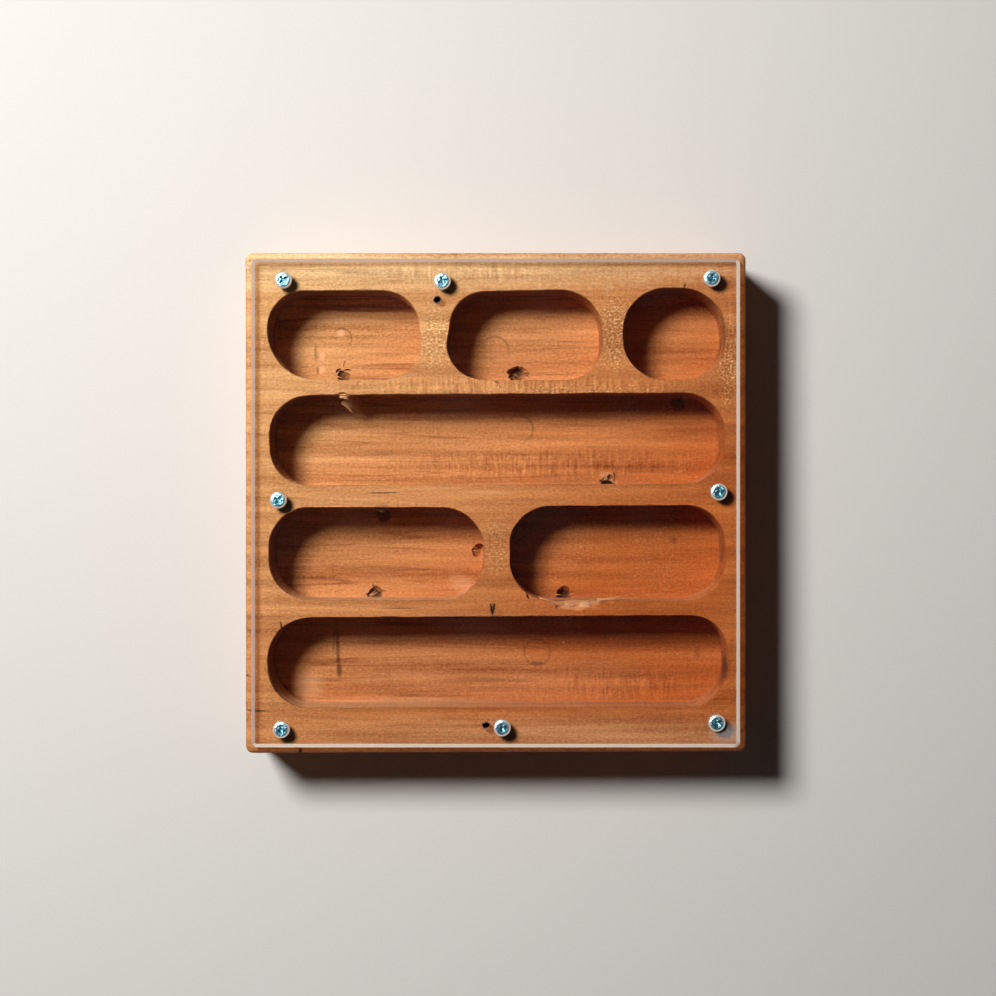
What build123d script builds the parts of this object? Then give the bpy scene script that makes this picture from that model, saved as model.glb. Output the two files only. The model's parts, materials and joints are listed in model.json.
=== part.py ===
from build123d import *
import math
import os

os.makedirs("parts", exist_ok=True)

# Ant habitat: a solid hardwood block with chambers routed into its face, slanted passages drilled
# between them, and a clear cover held down by pan head screws.
# Millimetres. +X right, +Y towards the back row, +Z up, out of the open face.
# Origin: the middle of the block's underside.

# Block
block_length = 200.0  # along X
block_width = 200.0  # along Y
block_height = 40.0
block_corner_round = 2.8  # upright corners
block_edge_round = 2.2  # sanded edges, top and bottom

# Chambers, routed straight down from the face
chamber_depth = 25.0
rim_ease = 0.4  # sanded rim
wall_left = 9.2
wall_right = 8.0
wall_back = 15.0  # wider, it takes the back screws
wall_front = 18.2
row_webs = (6.0, 9.0, 6.0)  # wood left between the rows, from the back

# Rows from the back. A chamber has its share of the row's length, and then four corners, counter-
# clockwise from the front left: how far the hand-held router strayed from the straight layout
# (x, y), and how round it left the corner, as a share of the chamber's smaller side.
rows = (
    {
        "gaps": (9.8, 8.6),
        "chambers": {
            "back_left": (3, ((0.2, 0.5, 0.54), (1.6, 0.5, 0.42), (-3.0, -0.4, 0.40), (-0.2, -0.4, 0.40))),
            "back_middle": (3, ((-3.0, 0.5, 0.40), (0.9, 0.5, 0.42), (-0.4, 0.2, 0.45), (3.6, -0.9, 0.38))),
            "back_right": (2, ((-0.3, 0.5, 0.46), (0.5, 0.7, 0.46), (-0.8, 0.2, 0.48), (0.1, 0.9, 0.47))),
        },
    },
    {
        "gaps": (),
        "chambers": {
            "long_back": (1, ((1.0, 0.9, 0.42), (-0.6, 1.6, 0.42), (-0.9, 1.4, 0.44), (0.5, 0.3, 0.44))),
        },
    },
    {
        "gaps": (10.2,),
        "chambers": {
            "front_left": (1, ((0.4, 0.6, 0.46), (0.4, 0.6, 0.46), (-0.8, 1.1, 0.45), (0.6, 1.1, 0.44))),
            "front_right": (1, ((0.4, 0.6, 0.44), (0.6, 0.2, 0.46), (-0.9, 2.0, 0.44), (-0.4, 1.5, 0.44))),
        },
    },
    {
        "gaps": (),
        "chambers": {
            "long_front": (1, ((1.2, 0.2, 0.44), (0.6, 0.2, 0.44), (0.2, 0.6, 0.40), (-1.0, -0.5, 0.46))),
        },
    },
)

# Passages: a drill held at a slant goes in through one chamber's wall and comes out at the foot of
# the next one's. From chamber, to chamber, and how far along the shorter wall between them.
passage_radius = 3.0
passage_slope = 50.0  # degrees down from level
passage_reach = 1.5  # from the wall's foot to where the drill's axis meets the floor
passage_overrun = 3.0  # how far its point goes on under the floor
passage_lead_in = 8.0  # along the axis, out in the open of the first chamber
passages = (
    ("long_back", "back_left", 0.465),
    ("long_back", "back_middle", 0.46),
    ("back_right", "long_back", 0.58),
    ("front_right", "long_back", 0.47),
    ("long_back", "front_left", 0.52),
    ("long_front", "front_left", 0.48),
    ("long_front", "front_right", 0.26),
    ("front_right", "front_left", 0.54),
)

# Cover
cover_setback = 2.8  # in from the block's sides
cover_thickness = 4.0
cover_bevel = 1.6
cover_corner_round = 2.4

# Screws, pan head with a cross recess
screw_length = 16.0  # under the head
thread_radius = 1.75
thread_root_radius = 1.3
thread_pitch = 1.5
screw_point_length = 3.0
head_radius = 3.4
head_height = 2.4
head_edge_height = 1.3  # the upright part of the head's side
head_flat_radius = 2.3
recess_span = 4.0  # across the cross
recess_slot = 1.05
recess_depth = 1.6
recess_taper = 8.0  # degrees
thread_gap = 0.15  # between the thread and the wood, all round
cover_hole_gap = 0.35  # between the thread and the cover's hole, all round
pilot_clear_depth = 2.0  # hole left under the screw's point
drill_point_angle = 59.0  # half the angle of a drill's cone

# Holes drilled and left empty when two screws were moved
spare_hole_radius = 1.5
spare_hole_depth = 12.0  # in the wood

left, right = -block_length / 2, block_length / 2
front, back = -block_width / 2, block_width / 2
floor_height = block_height - chamber_depth
cover_top = block_height + cover_thickness

# Name: x, y, and how far the cross is turned, in degrees
screws = {
    "screw_back_left": (left + 15.8, back - 11.6, 40.0),
    "screw_back_middle": (left + 78.8, back - 12.0, 20.0),
    "screw_back_right": (right - 14.3, back - 10.9, 5.0),
    "screw_middle_left": (left + 13.8, 1.2, 62.0),
    "screw_middle_right": (right - 11.5, 4.4, 24.0),
    "screw_front_left": (left + 15.0, front + 10.2, 10.0),
    "screw_front_middle": (2.6, front + 10.9, 30.0),
    "screw_front_right": (right - 12.3, front + 12.8, 48.0),
}
spare_holes = ((left + 76.7, back - 19.0), (-3.8, front + 11.4))

# Chambers' straight layout: the box of each one on the face
boxes = {}
chamber_width = (block_width - wall_back - wall_front - sum(row_webs)) / len(rows)
row_back = back - wall_back
for row, web in zip(rows, (*row_webs, 0.0)):
    free_length = block_length - wall_left - wall_right - sum(row["gaps"])
    all_shares = sum(share for share, _ in row["chambers"].values())
    chamber_left = left + wall_left
    for (name, (share, _)), gap in zip(row["chambers"].items(), (*row["gaps"], 0.0)):
        chamber_right = chamber_left + free_length * share / all_shares
        boxes[name] = (chamber_left, chamber_right, row_back - chamber_width, row_back)
        chamber_left = chamber_right + gap
    row_back -= chamber_width + web

# Chambers' real outlines: four corners and the radius at each
outlines = []
for row in rows:
    for name, (_, strays) in row["chambers"].items():
        x_low, x_high, y_low, y_high = boxes[name]
        straight = ((x_low, y_low), (x_high, y_low), (x_high, y_high), (x_low, y_high))
        small_side = min(x_high - x_low, y_high - y_low)
        corners = [(x + dx, y + dy) for (x, y), (dx, dy, _) in zip(straight, strays)]
        radii = [roundness * small_side for _, _, roundness in strays]
        outlines.append((corners, radii))

# Passages' axes: where each cut starts, which way it goes and how far
passage_cuts = []
slope = math.radians(passage_slope)
for high, low, along in passages:
    hx0, hx1, hy0, hy1 = boxes[high]
    lx0, lx1, ly0, ly1 = boxes[low]
    if hy0 == ly0:
        # Side by side: the drill goes along X
        heading = 1 if hx1 < lx0 else -1
        wall_in, wall_out = (hx1, lx0) if heading > 0 else (hx0, lx1)
        y = ly0 + along * (ly1 - ly0)
        at_floor = Vector(wall_out + heading * passage_reach, y, floor_height)
        way = Vector(heading * math.cos(slope), 0, -math.sin(slope))
    else:
        # One behind the other: it goes along Y
        heading = 1 if hy1 < ly0 else -1
        wall_in, wall_out = (hy1, ly0) if heading > 0 else (hy0, ly1)
        x_low, x_high = min((hx0, hx1), (lx0, lx1), key=lambda wall: wall[1] - wall[0])
        x = x_low + along * (x_high - x_low)
        at_floor = Vector(x, wall_out + heading * passage_reach, floor_height)
        way = Vector(0, heading * math.cos(slope), -math.sin(slope))
    run = (abs(wall_out - wall_in) + passage_reach) / math.cos(slope) + passage_lead_in
    passage_cuts.append((at_floor - way * run, way, passage_radius, run + passage_overrun))

# Upright holes in the wood, from the face down
down = Vector(0, 0, -1)
thread_depth = screw_length - cover_thickness
wood_holes = [
    (Vector(x, y, block_height), down, thread_radius + thread_gap, thread_depth + pilot_clear_depth)
    for x, y, _ in screws.values()
]
wood_holes += [
    (Vector(x, y, block_height), down, spare_hole_radius, spare_hole_depth)
    for x, y in spare_holes
]


# Wood block
with BuildPart() as wood_block:
    with BuildSketch():
        Rectangle(block_length, block_width)
    extrude(amount=block_height)
    fillet(wood_block.edges().filter_by(Axis.Z), radius=block_corner_round)
    top_and_bottom = wood_block.faces().filter_by(Plane.XY)
    fillet(top_and_bottom.edges(), radius=block_edge_round)
    with BuildSketch(Plane.XY.offset(floor_height)):
        for corners, radii in outlines:
            with BuildLine():
                FilletPolyline(*corners, radius=radii, close=True)
            make_face()
    extrude(amount=chamber_depth, mode=Mode.SUBTRACT)
    face = wood_block.faces().filter_by(Plane.XY).sort_by(Axis.Z)[-1]
    fillet([edge for rim in face.inner_wires() for edge in rim.edges()], radius=rim_ease)
    for start, way, radius, depth in (*passage_cuts, *wood_holes):
        bit = Plane(origin=start, z_dir=way)
        with BuildSketch(bit):
            Circle(radius)
        extrude(amount=depth, mode=Mode.SUBTRACT)
        point_height = radius / math.tan(math.radians(drill_point_angle))
        with BuildSketch(bit.offset(depth)):
            Circle(radius)
        extrude(amount=point_height * 0.95, taper=drill_point_angle, mode=Mode.SUBTRACT)
wood_block.part.label = "wood_block"
export_step(wood_block.part, "parts/wood_block.step")


# Clear cover
cover_length = block_length - 2 * cover_setback
cover_width = block_width - 2 * cover_setback
with BuildPart() as clear_cover:
    with BuildSketch(Plane.XY.offset(block_height)):
        RectangleRounded(cover_length, cover_width, cover_corner_round)
        with Locations([(x, y) for x, y, _ in screws.values()]):
            Circle(thread_radius + cover_hole_gap, mode=Mode.SUBTRACT)
        with Locations(spare_holes):
            Circle(spare_hole_radius, mode=Mode.SUBTRACT)
    extrude(amount=cover_thickness)
    upper_face = clear_cover.faces().sort_by(Axis.Z)[-1]
    chamfer(upper_face.outer_wire().edges(), length=cover_bevel)
clear_cover.part.label = "clear_cover"
export_step(clear_cover.part, "parts/clear_cover.step")


# Half of a screw's thread in section, from the point up: its crests as rings, (radius, height)
thread = [(0, -screw_length)]
ring = -screw_length + screw_point_length
while ring + thread_pitch < -thread_pitch:
    thread += [
        (thread_root_radius, ring),
        (thread_radius, ring + 0.4 * thread_pitch),
        (thread_radius, ring + 0.5 * thread_pitch),
        (thread_root_radius, ring + 0.9 * thread_pitch),
    ]
    ring += thread_pitch

# Screws
for name, (x, y, turn) in screws.items():
    with BuildPart() as screw:
        with BuildSketch(Plane(origin=(x, y, cover_top), x_dir=(1, 0, 0), z_dir=(0, -1, 0))):
            with BuildLine():
                head_edge = (head_radius, head_edge_height)
                head_flat = (head_flat_radius, head_height)
                Polyline(*thread, (thread_root_radius, 0), (head_radius, 0), head_edge)
                TangentArc(head_edge, head_flat, tangent=(0, 1))
                Polyline(head_flat, (0, head_height), (0, -screw_length))
            make_face()
        revolve(axis=Axis((x, y, 0), (0, 0, 1)))
        cross = Plane(origin=(x, y, cover_top + head_height), x_dir=(1, 0, 0), z_dir=(0, 0, -1))
        with BuildSketch(cross):
            Rectangle(recess_span, recess_slot, rotation=turn)
            Rectangle(recess_slot, recess_span, rotation=turn)
        extrude(amount=recess_depth, taper=recess_taper, mode=Mode.SUBTRACT)
    screw.part.label = name
    export_step(screw.part, f"parts/{name}.step")
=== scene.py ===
import bpy
import bmesh
import json
import math
import numpy as np
from functools import partial
from mathutils import Matrix, Vector, noise
from mathutils.geometry import delaunay_2d_cdt


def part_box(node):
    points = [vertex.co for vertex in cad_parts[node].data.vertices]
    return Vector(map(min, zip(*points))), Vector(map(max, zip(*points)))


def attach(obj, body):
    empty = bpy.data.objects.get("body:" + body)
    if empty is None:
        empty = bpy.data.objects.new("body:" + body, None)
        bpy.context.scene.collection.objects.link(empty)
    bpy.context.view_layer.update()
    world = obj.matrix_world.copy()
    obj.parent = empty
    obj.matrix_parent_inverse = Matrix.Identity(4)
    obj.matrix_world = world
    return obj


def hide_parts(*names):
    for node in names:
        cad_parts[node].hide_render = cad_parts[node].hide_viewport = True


# Ant habitat: routed cherry block, bevelled acrylic cover, eight zinc plated pan head screws.
# The frame and the stage are in metres, the pieces' own values in mm.
# +X right, +Y to the back row of chambers, +Z up out of the open face.
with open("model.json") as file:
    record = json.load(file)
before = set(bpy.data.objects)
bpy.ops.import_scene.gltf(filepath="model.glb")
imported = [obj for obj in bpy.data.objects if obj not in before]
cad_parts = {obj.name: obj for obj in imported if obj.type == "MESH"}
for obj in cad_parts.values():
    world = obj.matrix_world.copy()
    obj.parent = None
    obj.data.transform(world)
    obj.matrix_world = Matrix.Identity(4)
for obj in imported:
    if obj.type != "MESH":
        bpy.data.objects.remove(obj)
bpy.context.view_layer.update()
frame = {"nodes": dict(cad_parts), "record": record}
mm = 0.001
dice = np.random.default_rng(41)
print("frame loaded")


def linearColour(hexColour):
    channels = [int(hexColour[i:i + 2], 16) / 255 for i in (1, 3, 5)]
    return (*(c / 12.92 if c <= 0.04045 else ((c + 0.055) / 1.055) ** 2.4 for c in channels), 1.0)


def addNode(tree, kind, values=()):
    # a node by its kind, and its operation if it has one; a list of values is for its inputs in turn, and a
    # dictionary for its inputs and settings by name, where a node or a socket is linked
    kind, _, operation = kind.partition(" ")
    made = tree.nodes.new("ShaderNode" + kind)
    if operation:
        made.operation = operation
    values = values if isinstance(values, dict) else dict(enumerate(values))
    inputs = {}
    for name, value in values.items():
        if isinstance(name, int) or name in made.inputs:
            inputs[name] = value
        else:
            setattr(made, name, value)
    for name, value in inputs.items():
        if isinstance(value, bpy.types.Node):
            value = next(output for output in value.outputs if output.enabled)
        if isinstance(value, bpy.types.NodeSocket):
            tree.links.new(value, made.inputs[name])
        else:
            made.inputs[name].default_value = value
    return made


def emptyTree(holder):
    # gives addNode for that tree, which the functions below take as add
    holder.use_nodes = True
    holder.node_tree.nodes.clear()
    return partial(addNode, holder.node_tree)


def newMaterial(name):
    made = bpy.data.materials.new(name)
    return made, emptyTree(made)


def spansOf(values):
    # a piece's spans as settings: each maps from one value to another, and gives the lowest and the highest
    names = ("From Min", "From Max", "To Min", "To Max")
    return {name: dict(zip(names, span)) for name, span in values["spans"].items()}


def inMillimetres(add):
    place = add("TexCoord").outputs["Object"]
    return add("VectorMath SCALE", {0: place, "Scale": 1 / mm})


def trueFacing(add):
    # which way the surface looks, as its x, y and z
    seen = add("NewGeometry").outputs["True Normal"]
    return add("SeparateXYZ", [seen]).outputs


def addPatterns(add, inMm, patterns):
    # noise at real sizes: {name: (size along x, y, z in mm, detail)}
    made = {}
    for name, (sizes, detail) in patterns.items():
        scaled = add("VectorMath DIVIDE", [inMm, sizes])
        made[name] = add("TexNoise", {"Scale": 1.0, "Detail": detail, "Vector": scaled})
    return made


def addSwings(add, layers, weights):
    # each pattern's swing about its middle, weighted and added up
    total = 0.0
    for name, weight in weights.items():
        swing = add("Math SUBTRACT", [layers[name], 0.5])
        total = add("Math MULTIPLY_ADD", [swing, weight, total])
    return total


markFades = {
    # as shares of a mark's half sizes: a spot fades in from its border, a ring and an arc out to their line
    "spot": (1.0, 0.35),
    "ring": (0.13, 0.03),
    "arc": (0.13, 0.03),
    "arcSide": (-0.3, 0.7),  # and an arc also towards its turn
}


def addPlaces(add, inMm, places, ragged):
    # how near to named places, the strongest wins: {name: (middle, half sizes, strength, turn, kind)}; the
    # turn in degrees and the kind may be left out, and an arc is the half of a ring towards its turn
    nearest = None
    for at, size, strength, *more in places.values():
        turn = more[0] if more else 0
        kind = more[1] if len(more) > 1 else "spot"
        placed = {"Location": at, "Rotation": (0, 0, math.radians(turn)), "Scale": size, 0: inMm}
        moved = add("Mapping", {"vector_type": "TEXTURE", **placed})
        far = add("VectorMath LENGTH", [moved])
        if kind == "spot":
            far = add("Math ADD", [far, ragged])
        else:
            far = add("Math SUBTRACT", [far, 1.0])
            far = add("Math ABSOLUTE", [far])
        start, end = markFades[kind]
        amount = add("MapRange", {"From Min": start, "From Max": end, "To Max": strength, 0: far})
        if kind == "arc":
            start, end = markFades["arcSide"]
            side = add("SeparateXYZ", [moved]).outputs[0]
            side = add("MapRange", {"From Min": start, "From Max": end, 0: side})
            amount = add("Math MULTIPLY", [amount, side])
        if nearest is not None:
            amount = add("Math MAXIMUM", [nearest, amount])
        nearest = amount
    return nearest


def layColours(add, values, colour, coats):
    # a piece's named colours laid over a colour in turn, each by its own amount
    if isinstance(colour, str):
        colour = linearColour(values[colour])
    for over, amount in coats:
        over = linearColour(values[over])
        colour = add("Mix", {"data_type": "RGBA", 0: amount, 6: colour, 7: over})
    return colour


def addObject(name, data):
    made = bpy.data.objects.new(name, data)
    bpy.context.scene.collection.objects.link(made)
    return made


def wobble(x, y, z, size):
    # smooth noise of that size in mm, about -1 to 1, at a place in mm
    return noise.noise(Vector((x / size, y / size, z / size))) * 1.6


# Outlines, read from the frame

def sectionLoops(node, height):
    # the closed outlines in which a level plane cuts a node, in mm, as (n, 2) arrays
    cut = bmesh.new()
    cut.from_mesh(frame["nodes"][node].data)
    bmesh.ops.remove_doubles(cut, verts=cut.verts, dist=1e-6)
    whole = cut.verts[:] + cut.edges[:] + cut.faces[:]
    sliced = bmesh.ops.bisect_plane(cut, geom=whole, plane_co=(0, 0, height * mm), plane_no=(0, 0, 1),
                                    clear_outer=True, clear_inner=True)
    links = {}
    for edge in sliced["geom_cut"]:
        if isinstance(edge, bmesh.types.BMEdge):
            a, b = edge.verts
            links.setdefault(a, []).append(b)
            links.setdefault(b, []).append(a)
    loops, seen = [], set()
    for first in links:
        loop, at = [], first
        while at is not None and at not in seen:
            seen.add(at)
            loop.append((at.co.x / mm, at.co.y / mm))
            at = next((n for n in links[at] if n not in seen), None)
        if len(loop) > 2:
            loops.append(np.array(loop))
    cut.free()
    return loops


def resample(loop, step):
    # the same outline, counter-clockwise, in even steps
    x, y = loop.T
    if np.sum(x * np.roll(y, -1) - np.roll(x, -1) * y) < 0:
        loop = loop[::-1]
    ring = np.vstack([loop, loop[:1]])
    length = np.r_[0, np.cumsum(np.linalg.norm(np.diff(ring, axis=0), axis=1))]
    at = np.linspace(0, length[-1], max(int(round(length[-1] / step)), 12), endpoint=False)
    return np.c_[np.interp(at, length, ring[:, 0]), np.interp(at, length, ring[:, 1])]


def outward(loop):
    along = np.roll(loop, -1, 0) - np.roll(loop, 1, 0)
    along /= np.linalg.norm(along, axis=1)[:, None]
    return np.c_[along[:, 1], -along[:, 0]]


def insideLoop(points, loop):
    x, y = points[:, :1], points[:, 1:]
    x0, y0 = loop.T
    x1, y1 = np.roll(loop, -1, 0).T
    crosses = ((y0 > y) != (y1 > y)) & (x < (x1 - x0) * (y - y0) / np.where(y1 == y0, 1e-9, y1 - y0) + x0)
    return crosses.sum(1) % 2 == 1


def toLoop(points, loop):
    # how far each point is from the outline's nearest point, worked out in batches to spare memory
    batch = 400
    parts = [points[start:start + batch] for start in range(0, len(points), batch)]
    return np.concatenate([np.linalg.norm(part[:, None] - loop, axis=2).min(1) for part in parts])


# Block

blockValues = {
    # how the frame's block is read
    "cutDepth": 1.5,  # it is cut level this far under its top, for the outlines
    "footCut": 0.5,  # and this far under the chambers' floors, for the passages' feet
    "boxClear": 0.2,  # the openings' boxes stay this clear of the floors
    "widest": {"hole": 10.0, "foot": 20.0, "chamber": 190.0},  # outline of each kind
    "runs": (6.0, 40.0, 0.5),  # how far above its foot a passage's mouth is looked for, and in what steps
    "outlineStep": 0.9,  # mm between points along a chamber's outline
    "floorStep": 1.7,
    "faceStep": 3.0,
    "sideStep": 2.2,
    "undersideStep": 9.0,
    "edgeRound": 2.2,
    "edgeWear": 0.05,  # how far the sides are worn in
    "edgeWaves": ((0.05, 9.0), (0.03, 2.4)),  # depth and length of the waves in them
    "cornerRound": 2.8,
    "underCover": 0.05,  # the face lies this far under the cover
    "faceHollow": (0.03, 23.0),  # depth and length of the planer's hollows
    "rimEase": (0.42, 0.6),  # how far the rims are eased, and down to what depth
    "rimChips": (0.28, 1.6),  # how ragged they are, and down to what depth
    # down the walls from the face, where their outline is drawn
    "wallDepths": (0.0, 0.12, 0.3, 0.6, 1.2, 2.5, 4.2, 6.2, 8.2, 8.7, 10.5, 12.5, 14.5, 16.4, 16.9, 18.8,
                   20.6, 22.4, 23.8, 24.5, 24.8, 24.95),
    "passDepths": (8.4, 16.6),  # the router went down in three passes
    "passSteps": (0.14, 0.3),  # each lower pass is this much narrower
    "wander": 0.13,  # how far the router strayed
    "chatter": 0.035,  # ripple left by the bit
    "chatterPitch": 2.3,
    # how long the walls' unevenness is
    "wallWaves": {"chatter": 11.0, "wander": 9.0, "step": 16.0, "chip": 1.7, "rim": 5.0},
    "footDepth": 24.2,  # from here the walls' feet curve in to the floor
    "footCurve": 0.35,
    "trackWidth": 8.5,  # between the bit's tracks on the floors
    "trackBend": (1.5, 40.0),  # how far they bend, and how long the bends are
    "floorRelief": 0.036,
    "floorWaves": (0.05, 4.0),  # height and length
    "outOfSquare": (0.15, 0.8),  # the front corners are sawn this much short, left and right
    "holeDepths": (0.0, 0.25, 0.8, 4.0, 8.0),  # as the walls', and then the hole's own depth
    "holeDepth": 14.0,
    "emptyDepth": 12.0,  # of the two holes that no screw uses
    "emptyUnder": 1.7,  # a hole with a radius under this is such a one
    "holeTip": 1.1,
    "holeEase": 0.16,
    "holeTorn": (0.11, 2.2),  # how far the holes' walls tear, and how long the tears are
    "sharpFrom": 42.0,  # degrees between faces that show as an edge
    "passageSlope": 50.0,  # degrees down from level
    "passageRadius": 3.0,
    "passageStep": 0.7,
    "passageSpare": (6.5, 2.6),  # the drill is drawn this far above its mouth and below its foot
}

low, high = (np.array(corner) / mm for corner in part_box("wood_block"))
topHeight = high[2] - blockValues["underCover"]
cutLoops = sectionLoops("wood_block", high[2] - blockValues["cutDepth"])
extents = [np.ptp(loop, axis=0).max() for loop in cutLoops]
widest = blockValues["widest"]
holeLoops = [loop for loop, extent in zip(cutLoops, extents) if extent < widest["hole"]]
openings = frame["record"]["physics"]["openings"]
chamberLoops = {}
for opening in openings:
    middle = np.mean(opening["box_m"], axis=0)[:2][None] / mm
    for loop, extent in zip(cutLoops, extents):
        if widest["hole"] < extent < widest["chamber"] and insideLoop(middle, loop)[0]:
            name = opening["name"].replace("_chamber", "")
            chamberLoops[name] = resample(loop, blockValues["outlineStep"])
floorHeight = min(opening["box_m"][0][2] for opening in openings) / mm - blockValues["boxClear"]


def findPassages():
    # a passage's foot shows in the block just under the chambers' floors, longest along its heading
    slope = math.radians(blockValues["passageSlope"])
    level = floorHeight - blockValues["footCut"]
    found = []
    for loop in sectionLoops("wood_block", level):
        foot, span = (loop.min(0) + loop.max(0)) / 2, np.ptp(loop, axis=0)
        if span.max() > widest["foot"]:
            continue
        name = next(n for n, room in chamberLoops.items() if insideLoop(foot[None], room)[0])
        wall = chamberLoops[name][np.linalg.norm(chamberLoops[name] - foot, axis=1).argmin()]
        axis = span.argmax()
        heading = np.eye(2)[axis] * np.sign((foot - wall)[axis])
        way = np.r_[heading * math.cos(slope), -math.sin(slope)]
        start = np.r_[foot, level]
        # back up along it until it is under another chamber
        others = [room for n, room in chamberLoops.items() if n != name]
        for run in np.arange(*blockValues["runs"]):
            at = (start - way * run)[None, :2]
            if any(insideLoop(at, room)[0] for room in others):
                break
        found.append({"foot": start, "way": way, "run": float(run)})
    return found


passages = findPassages()
print("chambers", len(chamberLoops), "passages", len(passages), "holes", len(holeLoops))


class Shell:
    # points and faces gathered into one closed mesh

    def __init__(self):
        self.points = []
        self.faces = []

    def ring(self, flat, heights):
        first = len(self.points)
        heights = np.broadcast_to(heights, len(flat))
        self.points += [(x, y, z) for (x, y), z in zip(flat, heights)]
        return np.arange(first, len(self.points))

    def bridge(self, rings, inward=False):
        # walls from each ring to the next
        for upper, lower in zip(rings, rings[1:]):
            a, b, c, d = upper, np.roll(upper, -1), np.roll(lower, -1), lower
            self.faces += (np.c_[a, b, c, d] if inward else np.c_[a, d, c, b]).tolist()

    def loft(self, sections):
        # a closed body through sections with the same number of points
        rings = []
        for section in sections:
            first = len(self.points)
            self.points += [tuple(point) for point in section]
            rings.append(np.arange(first, len(self.points)))
        self.bridge(rings)
        self.faces += [rings[0].tolist(), rings[-1][::-1].tolist()]

    def fill(self, border, holes, step, height, up=True):
        # a level area inside border and outside holes, with points to carry its relief
        loops = [border, *holes]
        flat = [np.array([self.points[i][:2] for i in loop]) for loop in loops]
        lowest, highest = flat[0].min(0) + step / 2, flat[0].max(0)
        x, y = np.meshgrid(np.arange(lowest[0], highest[0], step), np.arange(lowest[1], highest[1], step))
        inner = np.c_[x.ravel(), y.ravel()] + dice.uniform(-0.25, 0.25, (x.size, 2)) * step
        keep = insideLoop(inner, flat[0])
        for loop in flat[1:]:
            keep &= ~insideLoop(inner, loop)
        inner = inner[keep]
        for loop in flat:
            inner = inner[toLoop(inner, loop) > 0.55 * step]
        known = [i for loop in loops for i in loop]
        edges, start = [], 0
        for loop in loops:
            count = len(loop)
            edges += [(start + i, start + (i + 1) % count) for i in range(count)]
            start += count
        first = len(self.points)
        self.points += [(px, py, height(px, py)) for px, py in inner]
        known += list(range(first, len(self.points)))
        places = [Vector(self.points[i][:2]) for i in known]
        _, _, triangles, origins, _, _ = delaunay_2d_cdt(places, edges, [], 0, 1e-7)
        names = [known[o[0]] for o in origins]
        for triangle in triangles:
            own = [names[i] for i in triangle]
            centre = np.mean([self.points[i][:2] for i in own], axis=0)[None]
            if not insideLoop(centre, flat[0])[0] or any(insideLoop(centre, loop)[0] for loop in flat[1:]):
                continue
            self.faces.append(own if up else own[::-1])


def outerLoop(step):
    # the block's outline, its corners rounded
    radius = blockValues["cornerRound"]
    corners = [(high[0], low[1], -90), (high[0], high[1], 0), (low[0], high[1], 90), (low[0], low[1], 180)]
    outline = []
    for x, y, start in corners:
        centre = Vector((x - math.copysign(radius, x), y - math.copysign(radius, y)))
        for turn in range(0, 91, 15):
            angle = math.radians(start + turn)
            outline.append((centre.x + radius * math.cos(angle), centre.y + radius * math.sin(angle)))
    loop, made = np.array(outline), []
    for a, b in zip(loop, np.roll(loop, -1, 0)):
        count = max(int(np.linalg.norm(b - a) / step), 1)
        made += [a + (b - a) * i / count for i in range(count)]
    made = np.array(made)
    # the two front corners are a little short of square
    toFront = (high[1] - made[:, 1]) / (high[1] - low[1])
    toRight = (made[:, 0] - low[0]) / (high[0] - low[0])
    shortLeft, shortRight = blockValues["outOfSquare"]
    made[:, 0] += shortLeft * toFront * (1 - toRight)
    made[:, 1] += shortRight * toFront * toRight
    return made


def faceHeight(x, y):
    # a planed face is a little hollow here and there
    deep, long = blockValues["faceHollow"]
    return topHeight - deep * abs(wobble(x, y, 0, long))


def roomFloor(name):
    bend, bendLength = blockValues["trackBend"]
    wave, waveLength = blockValues["floorWaves"]

    def height(x, y):
        # the bit's tracks lie side by side, each at its own depth
        track = math.floor((y + bend * wobble(x, y, 5, bendLength)) / blockValues["trackWidth"])
        step = blockValues["floorRelief"] * wobble(track * 3.7, len(name), 2, 1.9)
        return floorHeight + step + wave * wobble(x, y, 9, waveLength)

    return height


def wallShift(loop, depth):
    # how far each point of a chamber's wall lies outside its outline: the router strayed and chattered, cut
    # each pass narrower and chipped the rim
    values, waves = blockValues, blockValues["wallWaves"]
    level = sum(depth > limit for limit in values["passDepths"])
    narrower = (0.0, *values["passSteps"])[level]
    (ease, easeDepth), (chips, chipDepth) = values["rimEase"], values["rimChips"]
    made = []
    for i, (x, y) in enumerate(loop):
        turns = i * values["outlineStep"] / values["chatterPitch"]
        uneven = 0.6 + 0.6 * wobble(x, y, level * 9, waves["chatter"])
        ripple = values["chatter"] * math.sin(turns * math.tau + level) * uneven
        strayed = values["wander"] * wobble(x, y, 30 * level, waves["wander"])
        step = narrower * (0.5 + 0.5 * wobble(x, y, 50 + level, waves["step"]))
        chip = max(wobble(x, y, 77, waves["chip"]) - 0.45, 0) * chips * max(1 - depth / chipDepth, 0)
        rim = ease * max(1 - depth / easeDepth, 0) ** 1.6 * (0.75 + 0.35 * wobble(x, y, 3, waves["rim"]))
        foot = values["footCurve"] * max(depth - values["footDepth"], 0) ** 2
        made.append(strayed + ripple - step + chip + rim - foot)
    return np.array(made)[:, None]


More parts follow.
